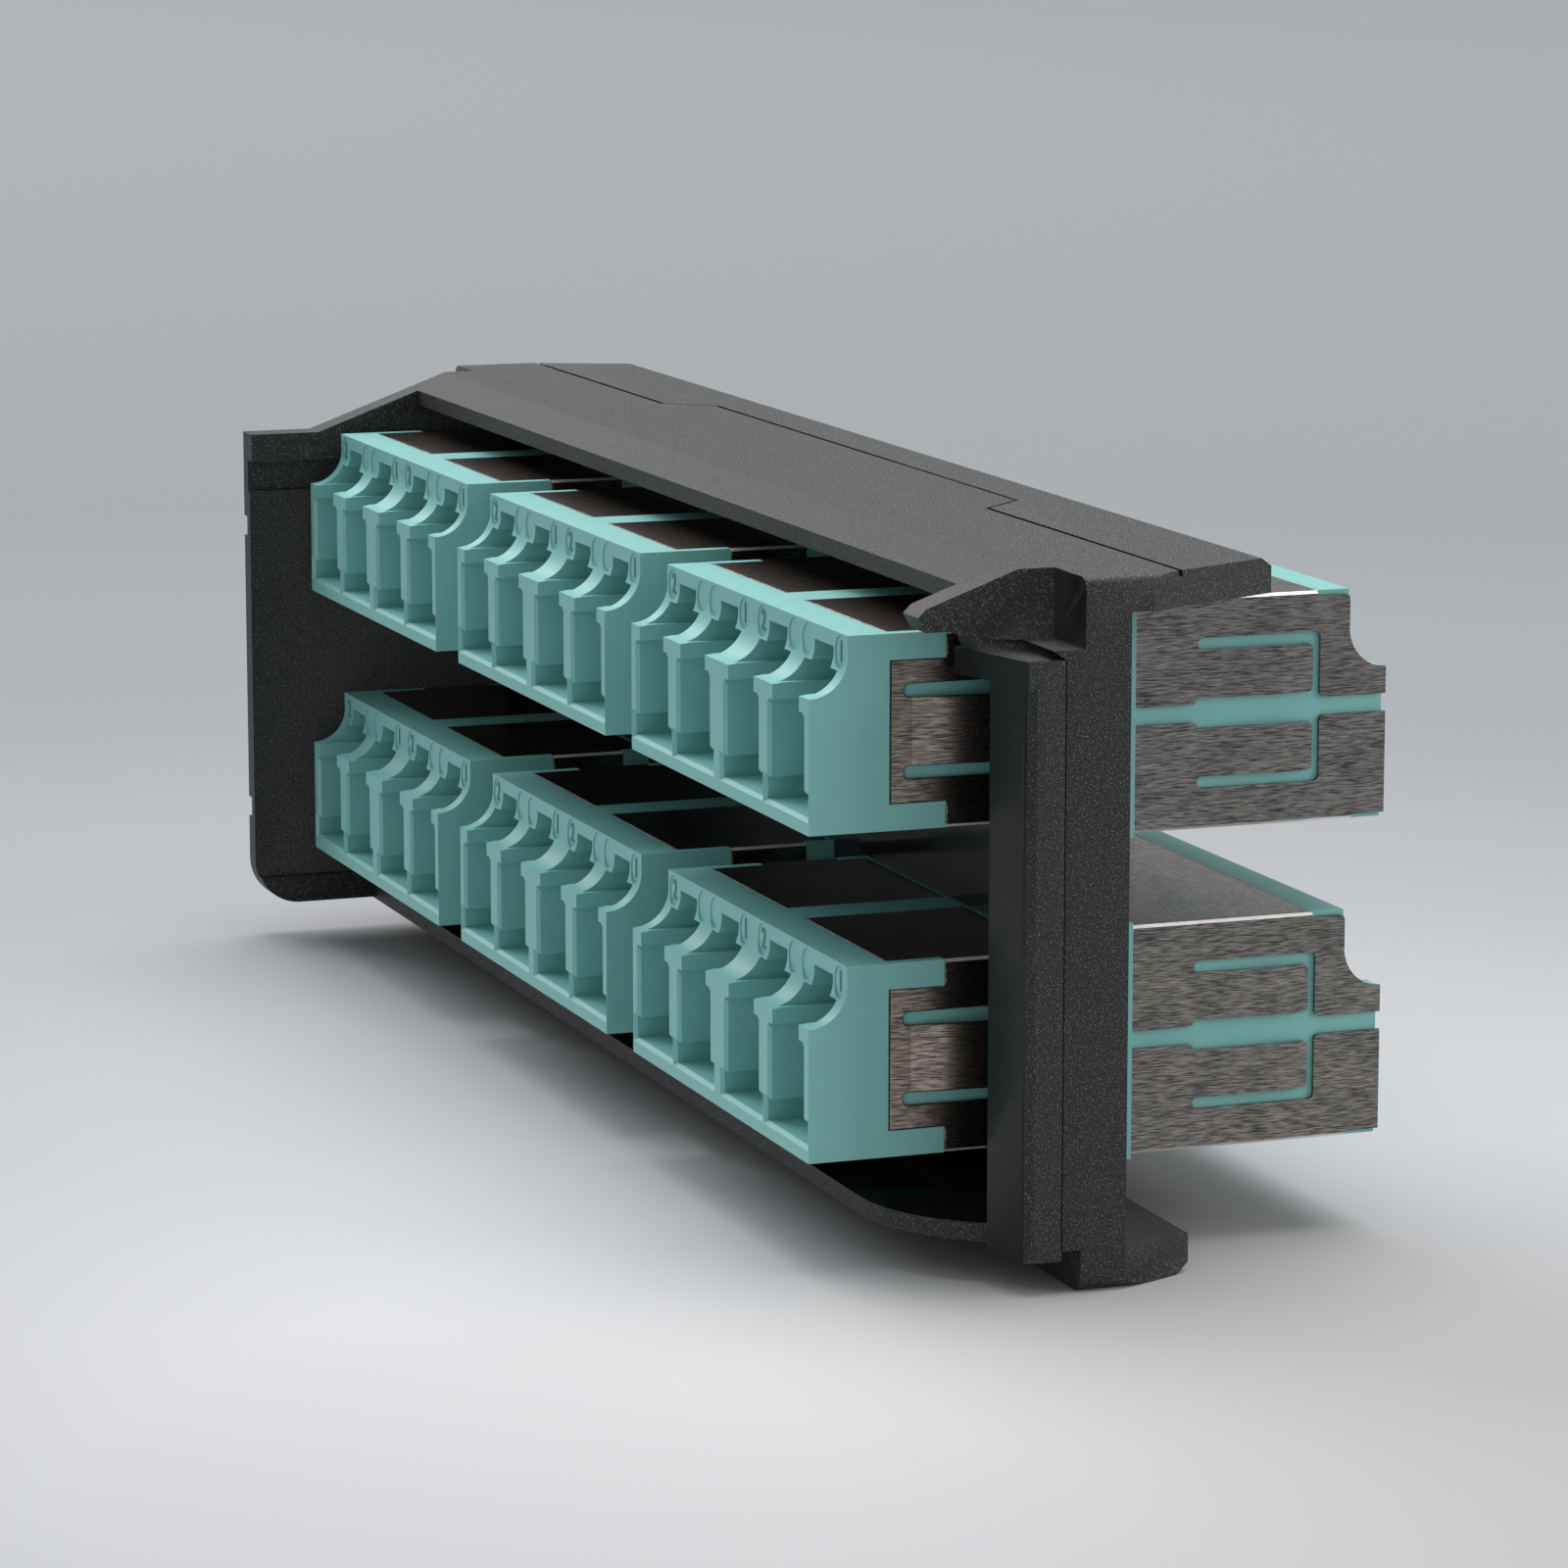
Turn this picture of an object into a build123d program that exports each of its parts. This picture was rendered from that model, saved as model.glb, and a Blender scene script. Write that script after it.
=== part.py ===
from build123d import *
import math
import os

# Lengths are in millimetres. X runs to the right seen from the ports, Y from the port
# faces to the rear, Z up. Until the last step Y starts at the port faces and Z half way
# between the two rows of adapters.

# How the adapters stand in the frame
COLUMN_PITCH = 30.1
ROW_PITCH = 15.84

# Four-port adapter, made of two housings that meet half way along it
ADAPTER_LENGTH = 29.95
FRONT_HEIGHT = 9.44
REAR_HEIGHT = 11.3
NOSE_RADIUS = 1.95
NOSE_CENTRE_Z = 3.75
NOSE_FACETS = 4
REAR_SETBACK = 0.13
FLANGE_OVERHANG = 0.2
FLANGE_THICKNESS = 3.06
FRONT_FLANGE_THICKNESS = 1.415

# Ports: one pair on each side of a thicker middle wall
PORT_PITCH = 6.25
PAIR_PITCH = 13.26
PORT_TO_MEETING = 4.575
PORT_FLOOR_Z = -3.92
PORT_WALL = 0.41
OUTER_WALL = 0.225
FOOT_TOP_Z = -2.8
PLUG_HALF_WIDTH = 2.36
PLUG_TOP_Z = 1.05
THROAT_HALF_WIDTH = 1.82
THROAT_TOP_Z = 1.85
EAR_HALF_WIDTH = 2.2
EAR_TOP_Z = 2.95
LATCH_HALF_WIDTH = 1.26
LATCH_TOP_Z = 3.97

# Folded steel shields
SHEET = 0.2
SHEET_FIT = 0.02
SHEET_BEND = 0.14
FRONT_SHIELD_Y = 4.15
FRONT_SHIELD_GAP = 0.09
FRONT_SIDE_GAP = 1.51
ARM_END_Y = 6.95
ARM_HEIGHT = 1.29
ARM_WIDTH = 0.62
DIVIDER_WIDTH = 2.63
WINDOW_CLEARANCE = 0.13
FRONT_SLOT_Z = 1.96
FRONT_SLOT_HEIGHT = 0.62
FRONT_SLOT_Y = 4.83
FRONT_LEAF_ROOT_Y = 5.22
FRONT_LEAF_RISE = 0.6
REAR_ROOF_SETBACK = 3.69
REAR_BASE_SETBACK = 1.74
REAR_BAND_HEIGHT = 0.88
REAR_WIDE_BAND_HEIGHT = 1.46
REAR_SLOT_START = 3.33
REAR_SLOT_SETBACK = 3.53
REAR_SLOT_Z = 3.38
REAR_SLOT_HEIGHT = 0.57
REAR_LEAF_GAP = 0.38
REAR_LEAF_BEND = 2.08
REAR_LEAF_RISE = 0.18

# Ferrule sleeves, trapped between the two housings; round parts this small get flat sides
FINE_SIDES = 6
SLEEVE_OUTER = 1.6
SLEEVE_BORE = 1.25
SLEEVE_LENGTH = 6.8
SLEEVE_FIT = 0.05
SLEEVE_Z = -0.6
TUBE_OUTER = 2.9
TUBE_REACH = 2.0

# Frame, one moulding
END_ROOM = 2.85
POST_WIDTH = 3.8
WALL = 1.94
ROOF_ROOM = 0.33
ROOF_THICKNESS = 1.73
SILL_ROOM = 2.68
SILL_THICKNESS = 1.9
BULKHEAD_THICKNESS = 0.91
POST_LEAD = 1.41
WINDOW_FIT = 0.12

ROOF_LIP_Y = 7.09
RIDGE_Y = 9.4
SLOPE = 0.3625
ROOF_REAR_Y = 22.25
ROOF_CHAMFER_Y = 0.65
ROOF_CHAMFER_Z = 0.43
ROOF_SLANT_Y = 14.68
END_SLANT = 0.456
POST_TOP_RADIUS = 0.6
POST_BOTTOM_RADIUS = 0.8
ROOF_GROOVE_Y = 16.2
ROOF_GROOVE_TAB_Y = 18.75
ROOF_GROOVE_TAB_HALF = 22.75
ROOF_GROOVE_TAB_FLARE = 2.35
ROOF_GROOVE_WIDTH = 0.26
ROOF_GROOVE_DEPTH = 0.33

FLOOR_FRONT_Y = 3.97
FLOOR_STEP = 0.15
FLOOR_THICKNESS = 0.92
FLOOR_CORNER = 8.0
FLOOR_SETBACK = 2.0
SILL_REAR_Y = 17.65
SILL_SLANT_Y = 13.5
SILL_CHAMFER_Y = 0.75
SILL_CHAMFER_Z = 0.5

SIDE_FRONT_Y = -3.4
SIDE_TOP_Z = 12.7
SIDE_BOTTOM_Z = -16.2
SIDE_CORNER = 2.6
SIDE_GROOVE_TOP_Z = 11.04
SIDE_GROOVE_BOTTOM_Z = 9.18
SIDE_GROOVE_DEPTH = 1.0
SIDE_LEDGE_Z = -14.57
SIDE_RECESS = 0.64
NOTCH_HEIGHT = 1.2
NOTCH_DEPTH = 0.3
UPPER_NOTCH_Z = 7.0
LOWER_NOTCH_Z = -10.34

BEAK_TIP_Y = 4.36
BEAK_TIP_Z = 13.74
BEAK_ROUND = 0.4
BEAK_UNDERSIDE_Z = 13.03
BEAK_HEEL_Y = 5.9
BEAK_TOE_Y = 7.3
SHELF_TOP_Z = 12.02
SHELF_UNDERSIDE_Z = 10.75
SHELF_LEAD = 1.45
RAIL_WIDTH = 2.95
RAIL_THICKNESS = 1.87
RAIL_BOTTOM_Z = -16.7
RAIL_ROUND = 0.55
PARTING_WIDTH = 0.14
PARTING_DEPTH = 0.2
STEP_DEPTH = 0.97
STEP_TOP_Z = 12.48
STEP_HOOK = 0.65
STEP_BOTTOM_Z = -16.24

# Long enough for a cut to pass right through the frame
BEYOND = 120.0

ROWS = {"lower": -1, "upper": 1}
COLUMNS = {"left": -1, "middle": 0, "right": 1}

# The adapter, from the ports outwards
FOOT_HALF_WIDTH = (PORT_PITCH - PORT_WALL) / 2
ADAPTER_WIDTH = PAIR_PITCH + PORT_PITCH + 2 * (FOOT_HALF_WIDTH + OUTER_WALL)
FLANGE_TOP_Z = REAR_HEIGHT / 2 + FLANGE_OVERHANG
MEETING_Y = ADAPTER_LENGTH / 2
PORT_DEPTH = MEETING_Y - PORT_TO_MEETING
BULKHEAD_REAR_Y = MEETING_Y - FRONT_FLANGE_THICKNESS
FLANGE_REAR_Y = BULKHEAD_REAR_Y + FLANGE_THICKNESS
REAR_ROOF_END_Y = ADAPTER_LENGTH - REAR_ROOF_SETBACK
REAR_BASE_END_Y = ADAPTER_LENGTH - REAR_BASE_SETBACK
REAR_SLOT_Y = FLANGE_REAR_Y + REAR_SLOT_START
REAR_SLOT_END_Y = ADAPTER_LENGTH - REAR_SLOT_SETBACK
REAR_LEAF_BEND_Y = REAR_SLOT_END_Y - REAR_LEAF_BEND

# The frame, from the adapters outwards
BULKHEAD_Y = BULKHEAD_REAR_Y - BULKHEAD_THICKNESS
FRONT_SIDE_END_Y = BULKHEAD_Y - FRONT_SIDE_GAP
POST_Y = BULKHEAD_Y - POST_LEAD
RAIL_REAR_Y = POST_Y - STEP_DEPTH
RAIL_OUTER_Y = RAIL_REAR_Y - RAIL_THICKNESS
SHELF_FRONT_Y = RAIL_OUTER_Y - SHELF_LEAD
FRAME_HALF_WIDTH = COLUMN_PITCH + ADAPTER_WIDTH / 2 + END_ROOM
POST_HALF_WIDTH = FRAME_HALF_WIDTH + POST_WIDTH
RAIL_INNER_X = POST_HALF_WIDTH - RAIL_WIDTH
FLOOR_END_X = POST_HALF_WIDTH - FLOOR_SETBACK
ROOF_UNDERSIDE_Z = ROW_PITCH / 2 + FLANGE_TOP_Z + ROOF_ROOM
FRAME_TOP_Z = ROOF_UNDERSIDE_Z + ROOF_THICKNESS
SILL_TOP_Z = -ROW_PITCH / 2 - FLANGE_TOP_Z - SILL_ROOM
FRAME_BOTTOM_Z = SILL_TOP_Z - SILL_THICKNESS
FLOOR_UNDERSIDE_Z = SILL_TOP_Z + FLOOR_STEP


def block(x0, x1, y0, y1, z0, z1):
    """A box between two values on each axis, given in either order."""
    centre = Pos((x0 + x1) / 2, (y0 + y1) / 2, (z0 + z1) / 2)
    return centre * Box(abs(x1 - x0), abs(y1 - y0), abs(z1 - z0))


def outline(points):
    return make_face(Polyline(*points, close=True).edges())


def along_x(face, x0, x1):
    return Pos(x0, 0, 0) * extrude(Plane.YZ * face, x1 - x0)


def along_y(face, y0, y1):
    return Pos(0, y1, 0) * extrude(Plane.XZ * face, y1 - y0)


def along_z(face, z0, z1):
    return Pos(0, 0, z0) * extrude(face, z1 - z0)


def rod_y(radius, x, z, y0, y1):
    return Pos(x, (y0 + y1) / 2, z) * Rot(90, 0, 0) * Cylinder(radius, abs(y1 - y0))


def fine_rod(diameter, x, z, y0, y1):
    """A thin rod along Y with flat sides."""
    return Pos(x, 0, z) * along_y(RegularPolygon(diameter / 2, FINE_SIDES), y0, y1)


def turned(shape):
    """A detail of the front end, turned round to the rear end of the adapter."""
    return Pos(0, ADAPTER_LENGTH, 0) * Rot(0, 0, 180) * shape


def port_centres():
    half_pair = PAIR_PITCH / 2
    half_port = PORT_PITCH / 2
    return [pair * half_pair + port * half_port for pair in (-1, 1) for port in (-1, 1)]


def nose_cut(radius):
    """The room above the ports: set back at the top, then a hollow curve down to the face."""
    step = math.pi / 2 / NOSE_FACETS
    curve = [
        (radius * math.cos(n * step), NOSE_CENTRE_Z - radius * math.sin(n * step))
        for n in range(NOSE_FACETS + 1)
    ]
    corner = [(-radius, NOSE_CENTRE_Z - radius), (-radius, REAR_HEIGHT)]
    return along_x(outline(curve + corner + [(radius, REAR_HEIGHT)]), -BEYOND, BEYOND)


def stepped_section(steps, floor_z):
    """A section mirrored about X = 0, from half widths and their tops, bottom up."""
    right = []
    low = floor_z
    for half_width, top in steps:
        right += [(half_width, low), (half_width, top)]
        low = top
    left = [(-x, z) for x, z in reversed(right)]
    return outline(right + left)


def port_pocket():
    section = stepped_section(
        (
            (FOOT_HALF_WIDTH, FOOT_TOP_Z),
            (PLUG_HALF_WIDTH, PLUG_TOP_Z),
            (THROAT_HALF_WIDTH, THROAT_TOP_Z),
            (EAR_HALF_WIDTH, EAR_TOP_Z),
            (LATCH_HALF_WIDTH, LATCH_TOP_Z),
        ),
        PORT_FLOOR_Z,
    )
    tube = fine_rod(TUBE_OUTER, 0, SLEEVE_Z, PORT_DEPTH - TUBE_REACH, PORT_DEPTH)
    return along_y(section, -NOSE_RADIUS, PORT_DEPTH) - tube


def sleeve_seat(x):
    """The bore that a ferrule sleeve lies in, open at the tip of the port's tube."""
    return fine_rod(SLEEVE_OUTER + 2 * SLEEVE_FIT, x, SLEEVE_Z, 0, MEETING_Y)


def end_cuts():
    """All that is taken out of one end of the adapter, front or rear."""
    cuts = nose_cut(NOSE_RADIUS)
    for x in port_centres():
        cuts += Pos(x, 0, 0) * port_pocket()
        cuts += sleeve_seat(x)
    return cuts


def flange(y0, y1):
    half = ADAPTER_WIDTH / 2 + FLANGE_OVERHANG
    return block(-half, half, y0, y1, -FLANGE_TOP_Z, FLANGE_TOP_Z)


def bent_section(near_x, near_z, height, thickness):
    """Half a folded sheet seen end on: from one X along the top and down to one Z."""
    half = ADAPTER_WIDTH / 2
    return outline(
        (
            (near_x, height),
            (half - SHEET_BEND, height),
            (half, height - SHEET_BEND),
            (half, near_z),
            (half - thickness, near_z),
            (half - thickness, height - thickness),
            (near_x, height - thickness),
        )
    )


def front_recess(hand):
    """The room that one front shield lies in, with a fine gap ahead of it."""
    half = ADAPTER_WIDTH / 2
    top = FRONT_HEIGHT / 2
    depth = SHEET + SHEET_FIT
    y0 = FRONT_SHIELD_Y - FRONT_SHIELD_GAP
    side_y = FRONT_SIDE_END_Y + SHEET_FIT
    near = hand * (half - depth)
    far = hand * (half + depth)
    arm_z = top - ARM_HEIGHT + SHEET_FIT
    rib = hand * (DIVIDER_WIDTH / 2 - SHEET_FIT)
    fold = hand * (half - ARM_WIDTH + SHEET_FIT)
    room = block(near, far, y0, ARM_END_Y, -arm_z, arm_z)
    room += block(near, far, ARM_END_Y - SHEET_FIT, side_y, -top, top)
    for side in (-1, 1):
        low = side * (top - depth)
        high = side * (top + depth)
        room += block(rib, fold, y0, BULKHEAD_Y, low, high)
        room += block(rib, far, ARM_END_Y - SHEET_FIT, side_y, low, high)
    return room


def leaf(path, z0, z1):
    """A bent spring leaf in the right side plate, from the X and Y of its outer face."""
    inner = [(x - SHEET, y) for x, y in reversed(path)]
    return along_z(outline(path + inner), z0, z1)


def front_shield():
    """The right-hand front shield, folded round the side of the adapter."""
    half = ADAPTER_WIDTH / 2
    top = FRONT_HEIGHT / 2
    end_y = BULKHEAD_Y - WINDOW_CLEARANCE
    fold_x = half - ARM_WIDTH
    section = bent_section(DIVIDER_WIDTH / 2, 0, top, SHEET)
    section += mirror(section, Plane.XZ)
    shield = along_y(section, FRONT_SHIELD_Y, end_y)
    shield -= block(fold_x, half, FRONT_SIDE_END_Y, end_y, -top, top)
    arm_z = top - ARM_HEIGHT
    for side in (-1, 1):
        shield -= block(fold_x, half, 0, ARM_END_Y, side * arm_z, side * top)
    low = FRONT_SLOT_Z - FRONT_SLOT_HEIGHT / 2
    shield -= block(fold_x, half, FRONT_LEAF_ROOT_Y, FRONT_SIDE_END_Y, -low, low)
    for side in (-1, 1):
        far = side * (low + FRONT_SLOT_HEIGHT)
        shield -= block(fold_x, half, FRONT_SLOT_Y, FRONT_SIDE_END_Y, side * low, far)
    path = [
        (half, FRONT_LEAF_ROOT_Y),
        (half + FRONT_LEAF_RISE, FRONT_SIDE_END_Y),
    ]
    return shield + leaf(path, -low, low)


def front_housing():
    half = ADAPTER_WIDTH / 2
    top = FRONT_HEIGHT / 2
    housing = block(-half, half, 0, BULKHEAD_REAR_Y, -top, top)
    housing += flange(BULKHEAD_REAR_Y, MEETING_Y)
    return housing - end_cuts() - front_recess(-1) - front_recess(1)


def rear_shield(cap_end_y):
    """A folded channel over the rear of the adapter, its side plates running on past the cap."""
    half = ADAPTER_WIDTH / 2
    top = REAR_HEIGHT / 2
    band = REAR_BAND_HEIGHT / 2
    wide_band = REAR_WIDE_BAND_HEIGHT / 2
    slot_low = REAR_SLOT_Z - REAR_SLOT_HEIGHT / 2
    slot_high = slot_low + REAR_SLOT_HEIGHT
    start_y = FLANGE_REAR_Y + SHEET_FIT
    side = along_y(bent_section(0, band, top, SHEET), start_y, cap_end_y)
    side += block(
        half - SHEET, half, cap_end_y, ADAPTER_LENGTH, band, top - SHEET - SHEET_FIT
    )
    side -= block(
        half - SHEET, half, REAR_SLOT_Y, REAR_SLOT_END_Y, band, slot_high
    )
    path = [
        (half, REAR_SLOT_Y),
        (half + REAR_LEAF_RISE, REAR_LEAF_BEND_Y),
        (half, REAR_SLOT_END_Y - REAR_LEAF_GAP),
    ]
    side += leaf(path, wide_band, slot_low)
    return side + mirror(side, Plane.YZ)


def upper_shield():
    return rear_shield(REAR_ROOF_END_Y) - turned(nose_cut(NOSE_RADIUS + SHEET_FIT))


def lower_shield():
    return mirror(rear_shield(REAR_BASE_END_Y), Plane.XY)


def rear_housing():
    """The rear moulding, narrower than the front by the sheet that wraps it."""
    half = ADAPTER_WIDTH / 2 - SHEET - SHEET_FIT
    top = REAR_HEIGHT / 2
    end_y = ADAPTER_LENGTH - REAR_SETBACK
    housing = block(-half, half, MEETING_Y, end_y, -top, top)
    housing += flange(MEETING_Y, FLANGE_REAR_Y)
    for side, cap_end_y in ((1, REAR_ROOF_END_Y), (-1, REAR_BASE_END_Y)):
        housing -= block(
            -half,
            half,
            FLANGE_REAR_Y,
            cap_end_y + SHEET_FIT,
            side * (top - SHEET - SHEET_FIT),
            side * top,
        )
    return housing - turned(end_cuts())


def sleeves():
    """The four ferrule sleeves, loose in their seats."""
    y0 = MEETING_Y - SLEEVE_LENGTH / 2
    y1 = MEETING_Y + SLEEVE_LENGTH / 2
    tubes = []
    for x in port_centres():
        tube = fine_rod(SLEEVE_OUTER, x, SLEEVE_Z, y0, y1)
        tubes.append(tube - fine_rod(SLEEVE_BORE, x, SLEEVE_Z, y0, y1))
    return Compound(children=tubes)


def adapter():
    """The pieces of one adapter, centred on X and Z."""
    shield = front_shield()
    return {
        "front_housing": front_housing(),
        "rear_housing": rear_housing(),
        "front_right_shield": shield,
        "front_left_shield": mirror(shield, Plane.YZ),
        "rear_upper_shield": upper_shield(),
        "rear_lower_shield": lower_shield(),
        "sleeves": sleeves(),
    }


def end_x(y, slant_y):
    """How far out the slanted end of the roof or sill stands at a given Y."""
    return POST_HALF_WIDTH - END_SLANT * max(0, y - slant_y)


def flared_plan(rear_y, slant_y):
    """Plan of a shelf as wide as the posts, whose ends slant in towards the rear."""
    right = [
        (POST_HALF_WIDTH, POST_Y),
        (POST_HALF_WIDTH, slant_y),
        (end_x(rear_y, slant_y), rear_y),
    ]
    return outline(right + [(-x, y) for x, y in reversed(right)])


def slope_z(y):
    """Height of the sloping front of the roof."""
    return FRAME_TOP_Z - SLOPE * (RIDGE_Y - y)


def roof():
    section = outline(
        (
            (ROOF_LIP_Y, ROOF_UNDERSIDE_Z),
            (ROOF_LIP_Y, slope_z(ROOF_LIP_Y)),
            (RIDGE_Y, FRAME_TOP_Z),
            (ROOF_REAR_Y - ROOF_CHAMFER_Y, FRAME_TOP_Z),
            (ROOF_REAR_Y, FRAME_TOP_Z - ROOF_CHAMFER_Z),
            (ROOF_REAR_Y, ROOF_UNDERSIDE_Z),
        )
    )
    slab = along_x(section, -POST_HALF_WIDTH, POST_HALF_WIDTH)
    plan = flared_plan(ROOF_REAR_Y, ROOF_SLANT_Y)
    room = along_z(plan, ROOF_UNDERSIDE_Z, FRAME_TOP_Z)
    room += block(
        -FRAME_HALF_WIDTH,
        FRAME_HALF_WIDTH,
        ROOF_LIP_Y,
        POST_Y,
        ROOF_UNDERSIDE_Z,
        FRAME_TOP_Z,
    )
    return slab & room


def roof_groove():
    """The fine line on the roof, stepped round the middle panel."""
    front = [
        (-POST_HALF_WIDTH, ROOF_GROOVE_Y),
        (-ROOF_GROOVE_TAB_HALF - ROOF_GROOVE_TAB_FLARE, ROOF_GROOVE_Y),
        (-ROOF_GROOVE_TAB_HALF, ROOF_GROOVE_TAB_Y),
        (ROOF_GROOVE_TAB_HALF, ROOF_GROOVE_TAB_Y),
        (ROOF_GROOVE_TAB_HALF + ROOF_GROOVE_TAB_FLARE, ROOF_GROOVE_Y),
        (POST_HALF_WIDTH, ROOF_GROOVE_Y),
    ]
    rear = [(x, y + ROOF_GROOVE_WIDTH) for x, y in reversed(front)]
    return along_z(outline(front + rear), FRAME_TOP_Z - ROOF_GROOVE_DEPTH, FRAME_TOP_Z)


def sill():
    """The flange behind the bulkhead along the underside."""
    section = outline(
        (
            (POST_Y, FRAME_BOTTOM_Z),
            (SILL_REAR_Y - SILL_CHAMFER_Y, FRAME_BOTTOM_Z),
            (SILL_REAR_Y, FRAME_BOTTOM_Z + SILL_CHAMFER_Z),
            (SILL_REAR_Y, SILL_TOP_Z),
            (POST_Y, SILL_TOP_Z),
        )
    )
    slab = along_x(section, -POST_HALF_WIDTH, POST_HALF_WIDTH)
    plan = flared_plan(SILL_REAR_Y, SILL_SLANT_Y)
    return slab & along_z(plan, FRAME_BOTTOM_Z, SILL_TOP_Z)


def front_floor():
    """The thin floor under the adapters, with one rounded corner."""
    top = FLOOR_UNDERSIDE_Z + FLOOR_THICKNESS
    square = (FLOOR_END_X - FLOOR_CORNER, FLOOR_FRONT_Y + FLOOR_CORNER)
    floor = block(
        -FRAME_HALF_WIDTH, square[0], FLOOR_FRONT_Y, BULKHEAD_Y, FLOOR_UNDERSIDE_Z, top
    )
    floor += block(
        square[0], FLOOR_END_X, square[1], BULKHEAD_Y, FLOOR_UNDERSIDE_Z, top
    )
    corner = Cylinder(FLOOR_CORNER, FLOOR_THICKNESS) & block(
        0, FLOOR_CORNER, -FLOOR_CORNER, 0, -FLOOR_THICKNESS, FLOOR_THICKNESS
    )
    return floor + Pos(square[0], square[1], top - FLOOR_THICKNESS / 2) * corner


def notch(z):
    """A small bite out of the outer front edge of the side wall."""
    x = -FRAME_HALF_WIDTH
    y = SIDE_FRONT_Y
    section = outline(
        (
            (x - NOTCH_DEPTH, y - NOTCH_DEPTH),
            (x + 2 * NOTCH_DEPTH, y - NOTCH_DEPTH),
            (x - NOTCH_DEPTH, y + 2 * NOTCH_DEPTH),
        )
    )
    return along_z(section, z - NOTCH_HEIGHT / 2, z + NOTCH_HEIGHT / 2)


def side_wall():
    """The full wall at the left end."""
    shoulder_y = RIDGE_Y - (FRAME_TOP_Z - SIDE_TOP_Z) / SLOPE
    section = outline(
        (
            (SIDE_FRONT_Y, SIDE_BOTTOM_Z),
            (SIDE_FRONT_Y, SIDE_TOP_Z),
            (shoulder_y, SIDE_TOP_Z),
            (RIDGE_Y, FRAME_TOP_Z),
            (BULKHEAD_Y, FRAME_TOP_Z),
            (BULKHEAD_Y, SIDE_BOTTOM_Z),
        )
    )
    inner_x = -FRAME_HALF_WIDTH + WALL
    wall = along_x(section, -FRAME_HALF_WIDTH, inner_x)
    toe = wall.edges().filter_by(Axis.X).sort_by(Axis.Y)[:2].sort_by(Axis.Z)[0]
    wall = fillet(toe, SIDE_CORNER)
    wall -= block(
        inner_x - SIDE_GROOVE_DEPTH,
        inner_x,
        SIDE_FRONT_Y,
        BULKHEAD_Y,
        SIDE_GROOVE_BOTTOM_Z,
        SIDE_GROOVE_TOP_Z,
    )
    wall -= block(
        inner_x - SIDE_RECESS,
        inner_x,
        SIDE_FRONT_Y,
        BULKHEAD_Y,
        SIDE_LEDGE_Z,
        SIDE_GROOVE_BOTTOM_Z,
    )
    return wall - notch(UPPER_NOTCH_Z) - notch(LOWER_NOTCH_Z)


def beak():
    """The hooked end of the roof over the open end."""
    section = outline(
        (
            (BEAK_TIP_Y, BEAK_TIP_Z),
            (BEAK_TIP_Y + BEAK_ROUND, slope_z(BEAK_TIP_Y + BEAK_ROUND)),
            (RIDGE_Y, FRAME_TOP_Z),
            (BULKHEAD_Y, FRAME_TOP_Z),
            (BULKHEAD_Y, SHELF_TOP_Z),
            (BEAK_TOE_Y, SHELF_TOP_Z),
            (ROOF_LIP_Y, BEAK_UNDERSIDE_Z - BEAK_ROUND),
            (BEAK_HEEL_Y, BEAK_UNDERSIDE_Z),
            (BEAK_TIP_Y + BEAK_ROUND, BEAK_UNDERSIDE_Z),
        )
    )
    return along_x(section, FRAME_HALF_WIDTH - WALL, FRAME_HALF_WIDTH)


def slanted_front_y(x):
    """Where the open end's shelf and rail begin, further back towards the outside."""
    inner_x = FRAME_HALF_WIDTH - WALL
    slant = SHELF_LEAD / (POST_HALF_WIDTH - inner_x)
    return SHELF_FRONT_Y + slant * (x - inner_x)


def behind_slant(x0, rear_y, z0, z1):
    """Plan from the slanted front to a given Y, out to the post's outer face."""
    plan = outline(
        (
            (x0, slanted_front_y(x0)),
            (POST_HALF_WIDTH, slanted_front_y(POST_HALF_WIDTH)),
            (POST_HALF_WIDTH, rear_y),
            (x0, rear_y),
        )
    )
    return along_z(plan, z0, z1)


def shelf():
    """The shelf that ties the open end's rail to the roof."""
    inner_x = FRAME_HALF_WIDTH - WALL
    return behind_slant(inner_x, BULKHEAD_Y, SHELF_UNDERSIDE_Z, SHELF_TOP_Z)


def rail():
    """The rounded rail in front of the right post."""
    body = behind_slant(RAIL_INNER_X, RAIL_REAR_Y, RAIL_BOTTOM_Z, SHELF_TOP_Z)
    outer = body.edges().filter_by(Axis.Z).sort_by(Axis.X)[-2:].sort_by(Axis.Y)[0]
    return fillet(outer, RAIL_ROUND)


def post(hand):
    """An end post with the shallow step in front of it."""
    body = block(
        hand * FRAME_HALF_WIDTH,
        hand * POST_HALF_WIDTH,
        POST_Y,
        BULKHEAD_REAR_Y,
        FRAME_BOTTOM_Z,
        FRAME_TOP_Z,
    )
    step = outline(
        (
            (RAIL_REAR_Y, STEP_BOTTOM_Z),
            (RAIL_REAR_Y, SHELF_TOP_Z),
            (RAIL_REAR_Y - STEP_HOOK, STEP_TOP_Z),
            (POST_Y, STEP_TOP_Z),
            (POST_Y, STEP_BOTTOM_Z),
        )
    )
    x0, x1 = sorted((hand * FRAME_HALF_WIDTH, hand * POST_HALF_WIDTH))
    return body + along_x(step, x0, x1)


def parting_line():
    """The fine upright groove between the rail and the step."""
    middle = RAIL_REAR_Y
    return block(
        POST_HALF_WIDTH - PARTING_DEPTH,
        POST_HALF_WIDTH,
        middle - PARTING_WIDTH / 2,
        middle + PARTING_WIDTH / 2,
        STEP_BOTTOM_Z,
        SHELF_TOP_Z,
    )


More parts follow.
